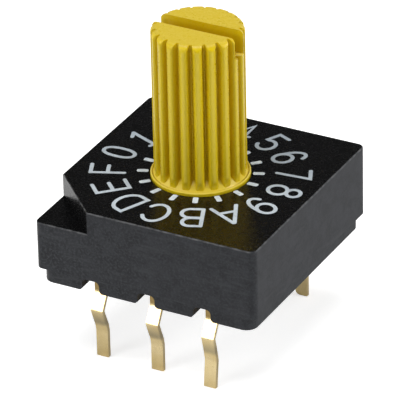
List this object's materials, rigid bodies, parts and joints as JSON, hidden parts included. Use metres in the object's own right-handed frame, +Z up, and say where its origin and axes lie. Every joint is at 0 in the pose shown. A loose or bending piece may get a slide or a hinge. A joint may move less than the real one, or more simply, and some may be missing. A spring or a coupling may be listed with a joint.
{
  "type": "rotary dip switch",
  "caption": "Square coded rotary DIP switch with a knurled, slotted setting shaft, a keyed corner, a dial of position marks and kinked through-hole leads.",
  "frame": {"origin": "on the shaft's axis, in the plane of the stand-off's underside that seats on the circuit board", "axes": "+Z up the shaft; -Y is the front row of leads; the keyed corner is at -X, -Y"},
  "size_m": [0.01, 0.01, 0.0139],
  "materials": {
    "case_black": "fine moulded texture, slightly mottled",
    "shaft_yellow": "satin moulded",
    "lead_gold": "gold plated sheet",
    "disc_gold": "gold plated sheet",
    "seal_rubber": "black rubber",
    "spring_steel": "rolled strip"
  },
  "bodies": {
    "case": {"base": "case_black", "cover": "case_black", "shaft_seal": "seal_rubber", "detent_spring": "spring_steel", "contact_bit_1": "lead_gold", "contact_bit_2": "lead_gold", "contact_bit_4": "lead_gold", "contact_bit_8": "lead_gold", "contact_common": "lead_gold"},
    "rotor": {"rotor_shaft": "shaft_yellow", "code_disc": "disc_gold"}
  },
  "joints": [
    {"name": "shaft_turn", "type": "hinge", "parent": "case", "child": "rotor", "pos_m": [0, 0, 0], "axis": [0, 0, 1], "continuous": true, "deforming": ["detent_spring"]}
  ]
}
